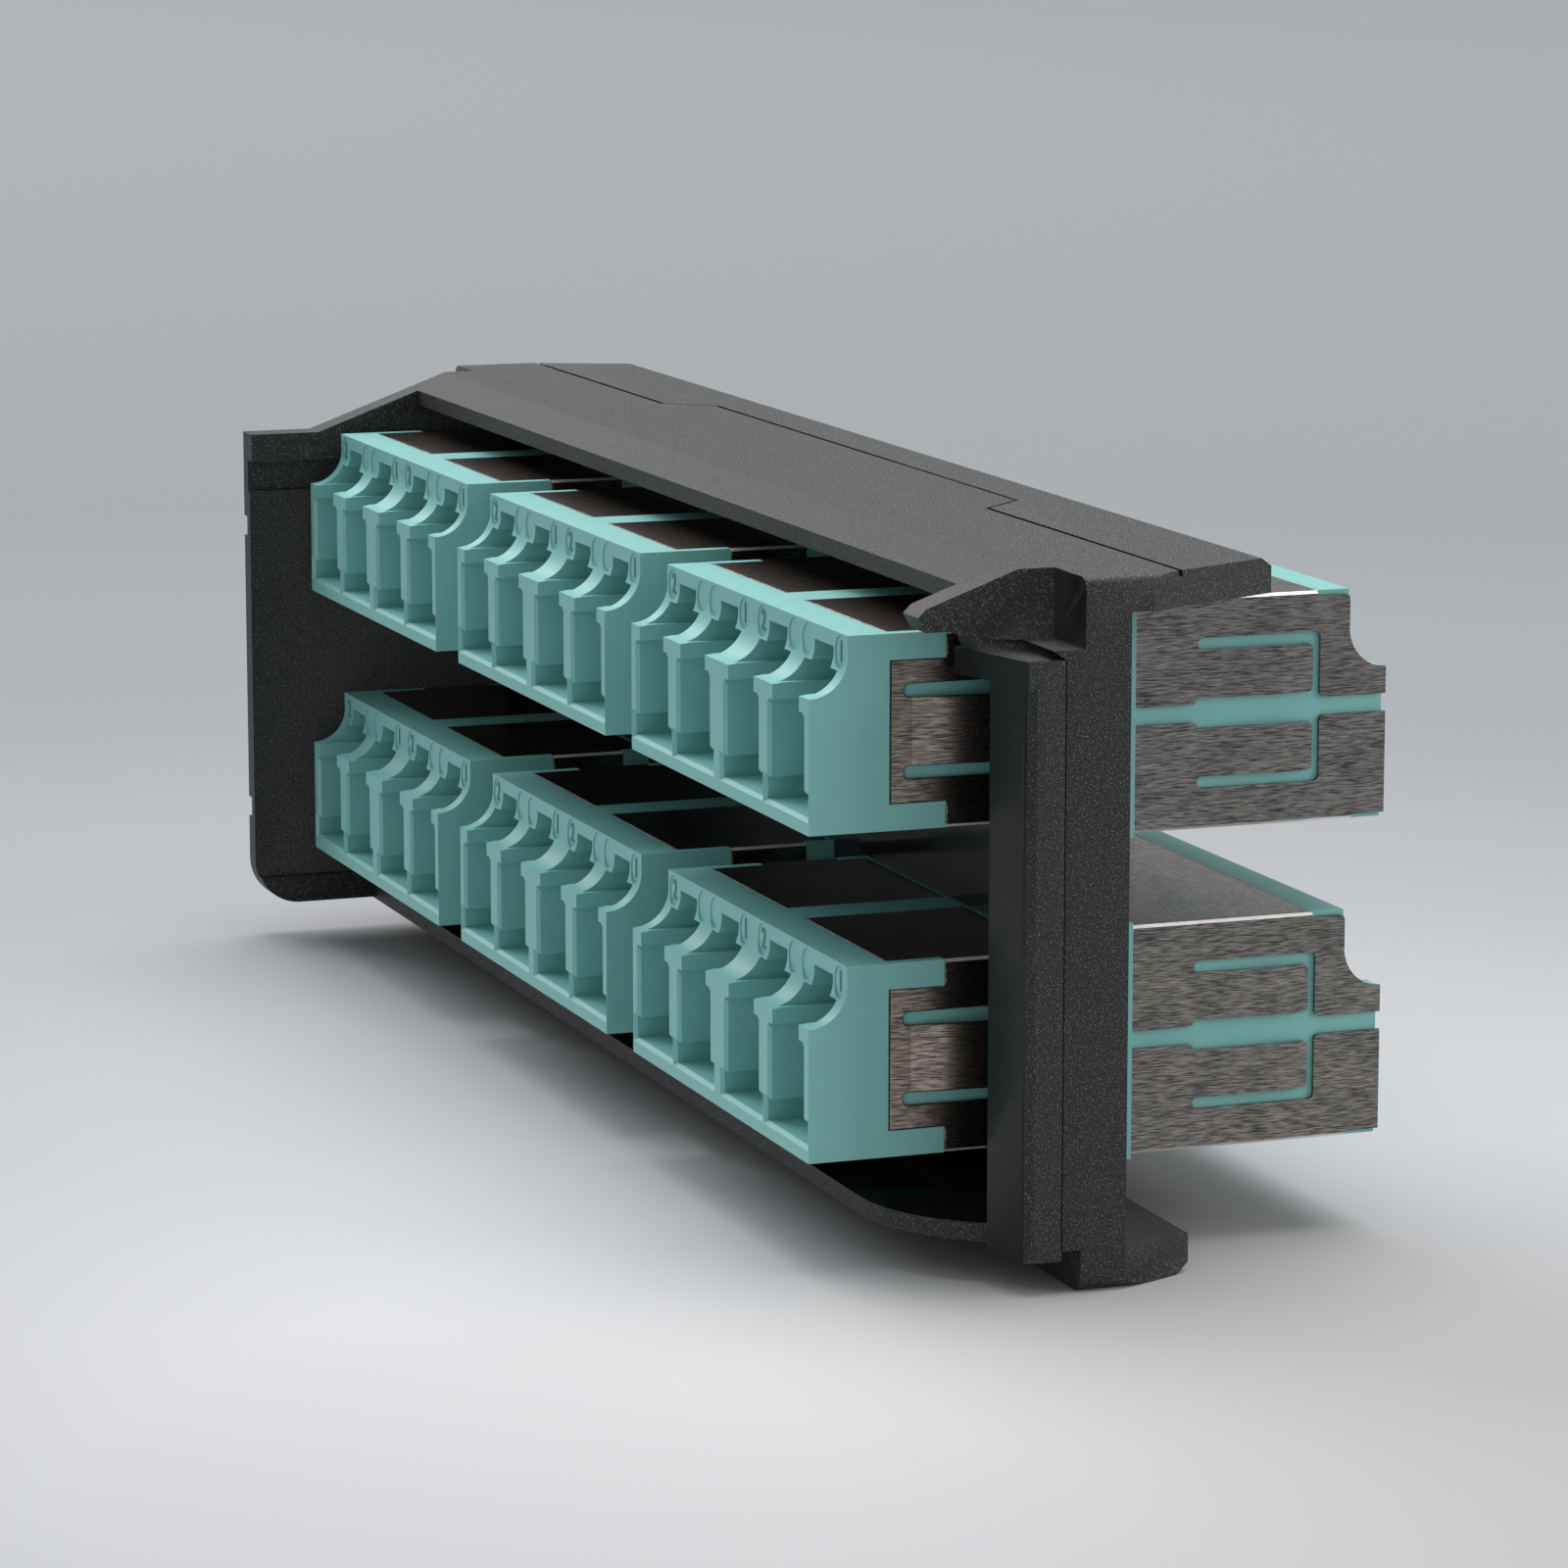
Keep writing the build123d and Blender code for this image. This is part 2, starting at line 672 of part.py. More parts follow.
def outer_corner(hand, z, side, radius):
    """What rounding takes off a lengthwise outer edge of the frame."""
    x = hand * (POST_HALF_WIDTH - radius)
    centre_z = z - side * radius
    waste = block(
        x, hand * POST_HALF_WIDTH, POST_Y, ROOF_REAR_Y, centre_z, z
    )
    return waste - rod_y(radius, x, centre_z, POST_Y, ROOF_REAR_Y)


def windows():
    cuts = []
    half = ADAPTER_WIDTH / 2 + WINDOW_FIT
    height = FRONT_HEIGHT / 2 + WINDOW_FIT
    for row in ROWS.values():
        for column in COLUMNS.values():
            cut = block(-half, half, BULKHEAD_Y, BULKHEAD_REAR_Y, -height, height)
            cuts.append(adapter_place(row, column) * cut)
    return cuts


def adapter_place(row, column):
    return Pos(column * COLUMN_PITCH, 0, row * ROW_PITCH / 2)


def frame():
    body = block(
        -POST_HALF_WIDTH,
        POST_HALF_WIDTH,
        BULKHEAD_Y,
        BULKHEAD_REAR_Y,
        FRAME_BOTTOM_Z,
        FRAME_TOP_Z,
    )
    for piece in (roof(), sill(), front_floor(), side_wall(), beak(), shelf(), rail()):
        body += piece
    for hand in (-1, 1):
        body += post(hand)
    body += block(
        -POST_HALF_WIDTH,
        POST_HALF_WIDTH,
        POST_Y,
        BULKHEAD_Y,
        FRAME_BOTTOM_Z,
        SILL_TOP_Z,
    )
    for hand in (-1, 1):
        body -= outer_corner(hand, FRAME_TOP_Z, 1, POST_TOP_RADIUS)
        body -= outer_corner(hand, FRAME_BOTTOM_Z, -1, POST_BOTTOM_RADIUS)
    body -= roof_groove()
    body -= parting_line()
    for cut in windows():
        body -= cut
    return body


def nodes():
    """Every piece by name, with the underside at Z = 0 and the middle at X = Y = 0."""
    middle_y = (SIDE_FRONT_Y + ADAPTER_LENGTH) / 2
    origin = Pos(0, -middle_y, -FRAME_BOTTOM_Z)
    pieces = {"frame": origin * frame()}
    for piece_name, piece in adapter().items():
        for row_name, row in ROWS.items():
            for column_name, column in COLUMNS.items():
                name = f"{row_name}_{column_name}_{piece_name}"
                pieces[name] = origin * adapter_place(row, column) * piece
    return pieces


if __name__ == "__main__":
    os.makedirs("parts", exist_ok=True)
    for node_name, shape in nodes().items():
        export_step(shape, f"parts/{node_name}.step")
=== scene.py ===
"""Finishes the fibre adapter plate for a studio picture: moulded grain, brushed
steel, port numerals, floor, lights and camera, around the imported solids."""

import math

import bmesh
import bpy
from bpy.props import FloatProperty, FloatVectorProperty, PointerProperty
from mathutils import Matrix, Vector


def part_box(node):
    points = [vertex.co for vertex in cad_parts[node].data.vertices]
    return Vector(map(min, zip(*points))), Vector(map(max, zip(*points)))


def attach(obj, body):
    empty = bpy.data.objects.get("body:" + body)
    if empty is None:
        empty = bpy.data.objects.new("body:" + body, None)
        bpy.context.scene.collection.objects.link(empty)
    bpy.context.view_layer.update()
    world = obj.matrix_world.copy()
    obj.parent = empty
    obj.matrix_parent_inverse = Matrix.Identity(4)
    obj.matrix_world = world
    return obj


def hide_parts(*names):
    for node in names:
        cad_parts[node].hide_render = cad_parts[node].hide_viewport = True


bl_info = {
    "name": "Fibre adapter plate",
    "version": (1, 0, 0),
    "blender": (4, 5, 0),
    "location": "3D View > Sidebar > Fibre plate",
    "description": "Finishes and stages a fibre adapter plate",
    "category": "Object",
}

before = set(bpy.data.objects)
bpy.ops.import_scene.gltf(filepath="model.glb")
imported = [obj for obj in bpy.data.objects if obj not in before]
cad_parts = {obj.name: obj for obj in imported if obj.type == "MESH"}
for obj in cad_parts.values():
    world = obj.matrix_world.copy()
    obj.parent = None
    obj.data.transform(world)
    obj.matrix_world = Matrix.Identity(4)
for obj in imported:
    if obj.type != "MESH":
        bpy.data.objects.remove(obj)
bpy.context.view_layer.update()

MM = 0.001
ROWS = ("lower", "upper")
COLUMNS = ("left", "middle", "right")
FRONT_SHIELDS = ("front_left_shield", "front_right_shield")
REAR_SHIELDS = ("rear_upper_shield", "rear_lower_shield")

# Places and sizes on one adapter, from its middle and its port faces
PORT_CENTRES = tuple(x * MM for x in (-9.755, -3.505, 3.505, 9.755))
NOSE_RADIUS = 1.955 * MM
NOSE_Z = 3.75 * MM
ROD_LENGTH = 40 * MM
SCOOP_OFFSET = 2.2 * MM
SCOOP_FLOOR_Y = 2.0 * MM
SCOOP_Z = 3.8 * MM
SCOOP_WIDTH = 1.5 * MM
SCOOP_HEIGHT = 1.6 * MM
SCOOP_REACH = 2 * MM
LEAD_IN = 0.18 * MM
# half width, low Z and high Z of the two zones of a port's mouth
MOUTH_ZONES = (
    (2.92 * MM, -3.92 * MM, -2.8 * MM),
    (2.36 * MM, -3.1 * MM, 0.75 * MM),
)
NUMERAL_SIDES = (-1, 1, -1, 1)
NUMERAL_WORDS = ("2", "1", "2", "1")
SHEET_FIT = 0.02 * MM
SHIELD_GAP = 0.11 * MM
SHEET_CORNER_ZONE = 0.4 * MM
SHEET_THICKEST = 0.3 * MM
FOLD_LEAN = 0.6
LEAF_LEAN = 0.04

# Places and sizes on the frame
POST_FRONT_Y = -2.0 * MM
PARTING_Y = -3.005 * MM
PARTING_REACH = 0.1 * MM
PARTING_DEPTH = 0.3 * MM
PARTING_SHARE = 0.4
WALL_X = -45.85 * MM
NOTCH_HEIGHTS = (25.35 * MM, 8.01 * MM)
NOTCH_REACH = 0.4 * MM
NOTCH_SHARE = 2.1
ROOF_FROM_Z = 33 * MM
FLOOR_TO_Z = 6 * MM
RAIL_FROM_X = 46.2 * MM
REAR_EASE = 0.35

# How much of a face's normal has to lie along an axis
FACING = 0.8
SQUARE = 0.9

# Angles in degrees
FLAT_ANGLE = 1
SOFT_ANGLE = 35
FOLD_ANGLE = 60
CORNER_ANGLE = 40
FRAME_CREASE = 35
SHEET_CREASE = 3

MERGE_DISTANCE = 0.001 * MM
EDGE_ROOM = 0.35
LEAST_WEIGHT = 0.1
FONT_CAP_HEIGHT = 0.7

# Roughness and specular level of the ungrained black
SATIN = (0.26, 0.25)
POLISHED = (0.12, 0.12)

# The part of a noise's range that a colour or a gloss runs over
LOW, HIGH = 0.3, 0.7


def nodes_called(endings):
    """The CAD nodes of every adapter whose names end in one of the given words."""
    found = []
    for row in ROWS:
        for column in COLUMNS:
            for ending in endings:
                name = f"{row}_{column}_{ending}"
                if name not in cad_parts:
                    raise RuntimeError(f"the packed model has no node {name}")
                found.append(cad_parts[name])
    return found


def adapter_centre(housing):
    """The middle of an adapter in X and Z, and the Y of its port faces."""
    low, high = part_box(housing)
    return Vector(((low[0] + high[0]) / 2, low[1], (low[2] + high[2]) / 2))


# Shaping


def merged_copy(node):
    """A bmesh of a CAD node, its loose triangles merged into whole faces."""
    build = bmesh.new()
    build.from_mesh(node.data)
    bmesh.ops.remove_doubles(build, verts=build.verts, dist=MERGE_DISTANCE)
    bmesh.ops.dissolve_limit(
        build,
        angle_limit=math.radians(FLAT_ANGLE),
        verts=build.verts,
        edges=build.edges,
    )
    return build


def mark_soft_edges(build, width, sharpness=SOFT_ANGLE):
    """Weight the sharp outward edges, less where a face beside them is narrow."""
    weights = build.edges.layers.float.new("bevel_weight_edge")
    limit = math.radians(sharpness)
    for edge in build.edges:
        if not edge.is_manifold or edge.calc_face_angle_signed(0) < limit:
            continue
        room = min(face.calc_area() for face in edge.link_faces) / edge.calc_length()
        edge[weights] = max(LEAST_WEIGHT, min(1.0, EDGE_ROOM * room / width))


def ease_edges(build, share, wanted):
    """Scale the weight of the soft edges whose middle passes a test."""
    weights = build.edges.layers.float["bevel_weight_edge"]
    for edge in build.edges:
        if wanted((edge.verts[0].co + edge.verts[1].co) / 2):
            edge[weights] *= share


def widen_notches(build, corner, heights, reach, share):
    """Deepen the bites out of an upright corner, each found by its height."""
    for vert in build.verts:
        offset = vert.co - Vector((*corner, 0))
        near = 0 <= offset.x < reach and 0 <= offset.y < reach
        if near and any(abs(vert.co.z - z) < 2 * reach for z in heights):
            vert.co.x += (share - 1) * offset.x
            vert.co.y += (share - 1) * offset.y


def stretch_end(build, end_y, reach):
    """Lengthen a piece by moving its flat rear end."""
    for vert in build.verts:
        if abs(vert.co.y - end_y) < SHEET_FIT:
            vert.co.y += reach


def narrow_groove(build, middle_y, reach, share, outer_x):
    """Draw the two walls of an upright groove in an outer face together."""
    for vert in build.verts:
        if abs(vert.co.y - middle_y) < reach and vert.co.x > outer_x:
            vert.co.y = middle_y + share * (vert.co.y - middle_y)


def round_corners(build, radius, wanted):
    """Round the corners of a side plate, seen along X, whose middle passes a test."""
    corners = []
    for edge in build.edges:
        along = edge.verts[1].co - edge.verts[0].co
        if not edge.is_manifold or abs(along.x) < 0.99 * along.length:
            continue
        if along.length > SHEET_THICKEST:
            continue
        if edge.calc_face_angle(0) < math.radians(CORNER_ANGLE):
            continue
        if wanted((edge.verts[0].co + edge.verts[1].co) / 2):
            corners.append(edge)
    for corner in corners:
        if not corner.is_valid:
            raise RuntimeError("two corners of a side plate lie too close to round")
        bmesh.ops.bevel(
            build,
            geom=[corner],
            offset=radius,
            affect="EDGES",
            segments=5,
            profile=0.5,
            material=-1,
            clamp_overlap=True,
        )


def new_piece(name, build, width=0.0, steps=2, crease=0):
    """Turn a finished bmesh into a piece that rides with the frame."""
    for face in build.faces:
        face.smooth = crease > 0
    mesh = bpy.data.meshes.new(name)
    build.to_mesh(mesh)
    build.free()
    mesh.set_sharp_from_angle(angle=math.radians(crease))
    piece = bpy.data.objects.new(name, mesh)
    bpy.context.scene.collection.objects.link(piece)
    if width:
        bevel = piece.modifiers.new("soft edges", "BEVEL")
        bevel.limit_method = "WEIGHT"
        bevel.width = width
        bevel.segments = steps
        bevel.use_clamp_overlap = True
        bevel.harden_normals = crease > 0
    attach(piece, "root")
    return piece


def carve(build, cutters):
    """Cut a bmesh with the shapes of another and give back the result."""
    pair = []
    for name, source in (("carved", build), ("cutters", cutters)):
        mesh = bpy.data.meshes.new(name)
        source.to_mesh(mesh)
        source.free()
        holder = bpy.data.objects.new(name, mesh)
        bpy.context.scene.collection.objects.link(holder)
        pair.append(holder)
    target, tool = pair
    cut = target.modifiers.new("carve", "BOOLEAN")
    cut.operation = "DIFFERENCE"
    cut.solver = "EXACT"
    cut.use_self = True
    cut.object = tool
    settled = target.evaluated_get(bpy.context.evaluated_depsgraph_get())
    result = bmesh.new()
    result.from_mesh(settled.to_mesh())
    settled.to_mesh_clear()
    for holder in pair:
        mesh = holder.data
        bpy.data.objects.remove(holder)
        bpy.data.meshes.remove(mesh)
    return result


def add_word(build, word, place, settings):
    """Add a raised numeral that faces the ports, its middle on a point."""
    curve = bpy.data.curves.new("numeral", "FONT")
    curve.body = word
    curve.size = settings.height / FONT_CAP_HEIGHT
    curve.align_x = "CENTER"
    curve.align_y = "CENTER"
    curve.extrude = settings.relief
    curve.resolution_u = 4
    holder = bpy.data.objects.new("numeral", curve)
    bpy.context.scene.collection.objects.link(holder)
    bpy.context.view_layer.update()
    mesh = bpy.data.meshes.new_from_object(holder)
    bpy.data.objects.remove(holder)
    bpy.data.curves.remove(curve)
    turn = Matrix.Rotation(math.radians(90), 4, "X")
    slim = Matrix.Diagonal((settings.slimness, 1, 1, 1))
    mesh.transform(Matrix.Translation(place) @ slim @ turn)
    build.from_mesh(mesh)
    bpy.data.meshes.remove(mesh)


def add_rod(build, radius, length, place, sides=96):
    """A rod along X, centred on a point."""
    turn = Matrix.Translation(place) @ Matrix.Rotation(math.radians(90), 4, "Y")
    bmesh.ops.create_cone(
        build,
        cap_ends=True,
        segments=sides,
        radius1=radius,
        radius2=radius,
        depth=length,
        matrix=turn,
    )


def add_oval(build, place, width, height, depth):
    """A flat-ended oval plug along Y, from its far end's middle towards the ports."""
    turn = Matrix.Rotation(math.radians(90), 4, "X")
    shape = Matrix.Diagonal((width / 2, depth, height / 2, 1))
    middle = Matrix.Translation(place - Vector((0, depth / 2, 0)))
    bmesh.ops.create_cone(
        build,
        cap_ends=True,
        segments=40,
        radius1=1,
        radius2=1,
        depth=1,
        matrix=middle @ shape @ turn,
    )


def add_lead_in(build, place, half_width, low, high, reach):
    """A wedge that opens one zone of a port's mouth at 45 degrees."""
    middle = place + Vector((0, 0, (low + high) / 2))
    shape = Matrix.Diagonal((2 * half_width, 2 * reach, high - low, 1))
    made = bmesh.ops.create_cube(
        build, size=1, matrix=Matrix.Translation(middle) @ shape
    )
    outer = [vert for vert in made["verts"] if vert.co.y < place.y]
    wider = (half_width + 2 * reach) / half_width
    taller = (high - low + 4 * reach) / (high - low)
    bmesh.ops.scale(
        build,
        vec=(wider, 1, taller),
        space=Matrix.Translation(-middle),
        verts=outer,
    )


class MouldingSettings(bpy.types.PropertyGroup):
    """Colours and grain of the two plastics."""

    frame_colour: FloatVectorProperty(
        name="Frame colour",
        description="Base colour of the black frame",
        subtype="COLOR",
        size=4,
        min=0,
        max=1,
        default=(0.010, 0.0103, 0.0103, 1),
    )
    fleck_colour: FloatVectorProperty(
        name="Fleck colour",
        description="Colour of the pale flecks in the frame's grain",
        subtype="COLOR",
        size=4,
        min=0,
        max=1,
        default=(0.14, 0.14, 0.137, 1),
    )
    # The roof's paler grain is a painted sheen: the light the roof catches at a low
    # angle, painted into its colour.
    roof_painted_sheen: FloatProperty(
        name="Roof painted sheen",
        description="How much paler the grain is on the roof than elsewhere",
        default=1.9,
    )
    grain_size: FloatProperty(
        name="Grain size",
        description="Width of one grain of the frame's surface",
        unit="LENGTH",
        default=0.085 * MM,
    )
    frame_edge: FloatProperty(
        name="Frame edges",
        description="Radius on the long outward edges of the frame",
        unit="LENGTH",
        default=0.3 * MM,
    )
    housing_edge: FloatProperty(
        name="Housing edges",
        description="Radius on the outward edges of the housings",
        unit="LENGTH",
        default=0.08 * MM,
    )
    housing_colour: FloatVectorProperty(
        name="Housing colour",
        description="Base colour of the adapter housings",
        subtype="COLOR",
        size=4,
        min=0,
        max=1,
        default=(0.23, 0.55, 0.53, 1),
    )


class SteelSettings(bpy.types.PropertyGroup):
    """Colours and brush lines of the folded shields."""

    front_colour: FloatVectorProperty(
        name="Front steel",
        description="Colour of the bright brush lines on the front shields",
        subtype="COLOR",
        size=4,
        min=0,
        max=1,
        default=(0.42, 0.355, 0.30, 1),
    )
    rear_colour: FloatVectorProperty(
        name="Rear steel",
        description="Colour of the bright brush lines on the rear shields",
        subtype="COLOR",
        size=4,
        min=0,
        max=1,
        default=(0.37, 0.345, 0.318, 1),
    )
    # The leaves are the same steel as the sheet; their paler colour is a painted
    # highlight, the brighter light their tilt reflects.
    leaf_highlight_colour: FloatVectorProperty(
        name="Leaf painted highlight",
        description="Colour of the leaves that are bent out of the sides",
        subtype="COLOR",
        size=4,
        min=0,
        max=1,
        default=(0.52, 0.445, 0.385, 1),
    )
    darkness: FloatProperty(
        name="Dark streaks",
        description="Brightness of the dark brush lines as a share of the bright ones",
        default=0.2,
    )
    sheet_edge: FloatProperty(
        name="Sheet edges",
        description="Radius on the folds and edges of the sheet",
        unit="LENGTH",
        default=0.08 * MM,
    )
    slot_round: FloatProperty(
        name="Slot ends",
        description="Radius in the corners of the slots and on the spring leaves",
        unit="LENGTH",
        default=0.27 * MM,
    )
    plate_round: FloatProperty(
        name="Plate corners",
        description="Radius on the other corners of the side plates",
        unit="LENGTH",
        default=0.1 * MM,
    )
    streak_width: FloatProperty(
        name="Streak width",
        description="Width of one brush line",
        unit="LENGTH",
        default=0.045 * MM,
    )
    streak_length: FloatProperty(
        name="Streak length",
        description="Length of one brush line",
        unit="LENGTH",
        default=0.75 * MM,
    )


class NumeralSettings(bpy.types.PropertyGroup):
    """Size and place of the port numerals."""

    height: FloatProperty(
        name="Height",
        description="Height of a numeral",
        unit="LENGTH",
        default=1.05 * MM,
    )
    slimness: FloatProperty(
        name="Slimness",
        description="Width of a numeral as a share of the font's own",
        default=0.8,
    )
    relief: FloatProperty(
        name="Relief",
        description="How far a numeral stands out of its scoop",
        unit="LENGTH",
        default=0.05 * MM,
    )


class StageSettings(bpy.types.PropertyGroup):
    """Floor, lamps and camera."""

    floor_colour: FloatVectorProperty(
        name="Floor",
        description="Colour of the floor far behind the plate",
        subtype="COLOR",
        size=4,
        min=0,
        max=1,
        default=(0.278, 0.294, 0.309, 1),
    )
    # The pool is painted light: lamp light pooling on the floor, painted into its
    # colour.
    painted_light_pool_colour: FloatVectorProperty(
        name="Painted light pool",
        description="Colour of the floor in front of the plate",
        subtype="COLOR",
        size=4,
        min=0,
        max=1,
        default=(0.686, 0.688, 0.702, 1),
    )
    sky_colour: FloatVectorProperty(
        name="Surroundings",
        description="Colour of the studio around the plate",
        subtype="COLOR",
        size=4,
        min=0,
        max=1,
        default=(0.39, 0.395, 0.4, 1),
    )
    lens: FloatProperty(
        name="Lens",
        description="Focal length of the camera in millimetres",
        default=133.94,
    )


# Material building


def new_material(name):
    material = bpy.data.materials.new(name)
    material.use_nodes = True
    tree = material.node_tree
    shader = tree.nodes["Principled BSDF"]
    return material, tree, shader


def math_node(tree, operation, first, second=None, clamp=False):
    node = tree.nodes.new("ShaderNodeMath")
    node.operation = operation
    node.use_clamp = clamp
    for socket, value in zip(node.inputs, (first, second)):
        if value is None:
            continue
        if isinstance(value, (int, float)):
            socket.default_value = value
        else:
            tree.links.new(value, socket)
    return node.outputs[0]


def facing(tree, place, axis):
    """1 where the surface faces along an axis, 0 elsewhere."""
    split = tree.nodes.new("ShaderNodeSeparateXYZ")
    tree.links.new(place.outputs["Normal"], split.inputs[0])
    size = math_node(tree, "ABSOLUTE", split.outputs[axis])
    return math_node(tree, "GREATER_THAN", size, 0.7)


def noise(tree, place, scale, detail=2.0, stretch=(1, 1, 1)):
    mapping = tree.nodes.new("ShaderNodeMapping")
    mapping.inputs["Scale"].default_value = stretch
    tree.links.new(place.outputs["Object"], mapping.inputs["Vector"])
    texture = tree.nodes.new("ShaderNodeTexNoise")
    texture.inputs["Scale"].default_value = scale
    texture.inputs["Detail"].default_value = detail
    tree.links.new(mapping.outputs[0], texture.inputs["Vector"])
    return texture.outputs["Fac"]


def ramp(tree, value, low, high, low_colour, high_colour):
    node = tree.nodes.new("ShaderNodeValToRGB")
    node.color_ramp.elements[0].position = low
    node.color_ramp.elements[1].position = high
    node.color_ramp.elements[0].color = low_colour
    node.color_ramp.elements[1].color = high_colour
    tree.links.new(value, node.inputs[0])
    return node.outputs["Color"]


def span(tree, value, low, high, to_low, to_high):
    node = tree.nodes.new("ShaderNodeMapRange")
    node.inputs["From Min"].default_value = low
    node.inputs["From Max"].default_value = high
    node.inputs["To Min"].default_value = to_low
    node.inputs["To Max"].default_value = to_high
    tree.links.new(value, node.inputs["Value"])
    return node.outputs["Result"]


def mix_value(tree, factor, first, second):
    node = tree.nodes.new("ShaderNodeMix")
    node.data_type = "FLOAT"
    tree.links.new(factor, node.inputs["Factor"])
    tree.links.new(first, node.inputs["A"])
    tree.links.new(second, node.inputs["B"])
    return node.outputs["Result"]


def add_bump(tree, shader, height, strength, depth):
    bump = tree.nodes.new("ShaderNodeBump")
    bump.inputs["Strength"].default_value = strength
    bump.inputs["Distance"].default_value = depth
    tree.links.new(height, bump.inputs["Height"])
    tree.links.new(bump.outputs["Normal"], shader.inputs["Normal"])


def grained_black(name, settings, painted_sheen_gain):
    """Black plastic with a spark-eroded grain; a gain above 1 pales its colours as a
    painted sheen, the light the roof catches.
    """
    material, tree, shader = new_material(name)
    place = tree.nodes.new("ShaderNodeTexCoord")
    grain = noise(tree, place, 1 / settings.grain_size, 3.0)
    # a gain above 1 paints a sheen of light into both colours
    dark = tuple(c * painted_sheen_gain for c in settings.frame_colour[:3]) + (1,)
    pale = tuple(c * painted_sheen_gain for c in settings.fleck_colour[:3]) + (1,)
    fleck = ramp(tree, grain, 0.55, 0.67, dark, pale)
    tree.links.new(fleck, shader.inputs["Base Color"])
    tree.links.new(span(tree, grain, LOW, HIGH, 0.44, 0.6), shader.inputs["Roughness"])
    shader.inputs["Specular IOR Level"].default_value = 0.45
    add_bump(tree, shader, grain, 0.6, 0.05 * MM)
    return material


def polished_black(name, settings, gloss, shine):
    """The same plastic where the mould is smooth: on the rail, bulkhead and floor."""
    material, tree, shader = new_material(name)
    place = tree.nodes.new("ShaderNodeTexCoord")
    cloud = noise(tree, place, 600, 3.0)
    light = tuple(c * 1.3 for c in settings.frame_colour[:3]) + (1,)
    tone = ramp(tree, cloud, LOW, HIGH, settings.frame_colour, light)
    tree.links.new(tone, shader.inputs["Base Color"])
    low, high = 0.86 * gloss, 1.14 * gloss
    tree.links.new(span(tree, cloud, LOW, HIGH, low, high), shader.inputs["Roughness"])
    shader.inputs["Specular IOR Level"].default_value = shine
    return material


def aqua_plastic(settings):
    """Satin moulded plastic with a faint mottle."""
    material, tree, shader = new_material("aqua_plastic")
    place = tree.nodes.new("ShaderNodeTexCoord")
    mottle = noise(tree, place, 900, 3.0)
    colour = settings.housing_colour
    light = tuple(min(1, c * 1.02) for c in colour[:3]) + (1,)
    dark = tuple(c * 0.98 for c in colour[:3]) + (1,)
    shade = ramp(tree, mottle, LOW, HIGH, dark, light)
    tree.links.new(shade, shader.inputs["Base Color"])
    gloss = span(tree, mottle, LOW, HIGH, 0.40, 0.48)
    tree.links.new(gloss, shader.inputs["Roughness"])
    fine = noise(tree, place, 9000, 2.0)
    add_bump(tree, shader, fine, 0.12, 0.01 * MM)
    return material


def numeral_painted_shade_plastic(settings):
    """The housing's plastic, darkened as a painted shade that stands in for the shadows
    along the raised numerals' strokes.
    """
    material, tree, shader = new_material("numeral_painted_shade_plastic")
    place = tree.nodes.new("ShaderNodeTexCoord")
    mottle = noise(tree, place, 4000, 2.0)
    # both colours are darker than the housing's: painted shade
    light = tuple(c * 0.5 for c in settings.housing_colour[:3]) + (1,)
    dark = tuple(c * 0.42 for c in settings.housing_colour[:3]) + (1,)
    shade = ramp(tree, mottle, LOW, HIGH, dark, light)
    tree.links.new(shade, shader.inputs["Base Color"])
    tree.links.new(span(tree, mottle, LOW, HIGH, 0.42, 0.5), shader.inputs["Roughness"])
    return material


def brushed_steel(name, light, settings):
    """Folded sheet, brushed along Y on its sides and along X on top and underneath."""
    material, tree, shader = new_material(name)
    place = tree.nodes.new("ShaderNodeTexCoord")
    long_way = 1 / settings.streak_length
    across = 1 / settings.streak_width
    side = noise(tree, place, 1.0, 3.0, (long_way, long_way, across))
    flat = noise(tree, place, 1.0, 3.0, (long_way, across, across))
    streak = mix_value(tree, facing(tree, place, 0), flat, side)
    cloud = noise(tree, place, 350, 2.0)
    tone = math_node(
        tree, "ADD", streak, span(tree, cloud, LOW, HIGH, -0.03, 0.03)
    )
    dark = tuple(c * settings.darkness for c in light[:3]) + (1,)
    colour = ramp(tree, tone, 0.36, 0.66, dark, light)
    tree.links.new(colour, shader.inputs["Base Color"])
    shader.inputs["Metallic"].default_value = 1.0
    side_gloss = span(tree, tone, LOW, HIGH, 0.32, 0.22)
    flat_gloss = span(tree, tone, LOW, HIGH, 0.27, 0.2)
    gloss = mix_value(tree, facing(tree, place, 0), flat_gloss, side_gloss)
    tree.links.new(gloss, shader.inputs["Roughness"])
    add_bump(tree, shader, streak, 0.3, 0.01 * MM)
    return material


def painted_fold_highlight():
    """A painted highlight for the folds: a pale, half-metallic steel, brighter than the
    flat sheet, standing in for the lines of light along the bends.
    """
    material, tree, shader = new_material("painted_fold_highlight")
    place = tree.nodes.new("ShaderNodeTexCoord")
    cloud = noise(tree, place, 700, 2.0)
    shade = ramp(tree, cloud, LOW, HIGH, (0.80, 0.77, 0.73, 1), (0.92, 0.90, 0.87, 1))
    tree.links.new(shade, shader.inputs["Base Color"])
    tree.links.new(span(tree, cloud, LOW, HIGH, 0.16, 0.24), shader.inputs["Roughness"])
    shader.inputs["Metallic"].default_value = 0.35
    return material


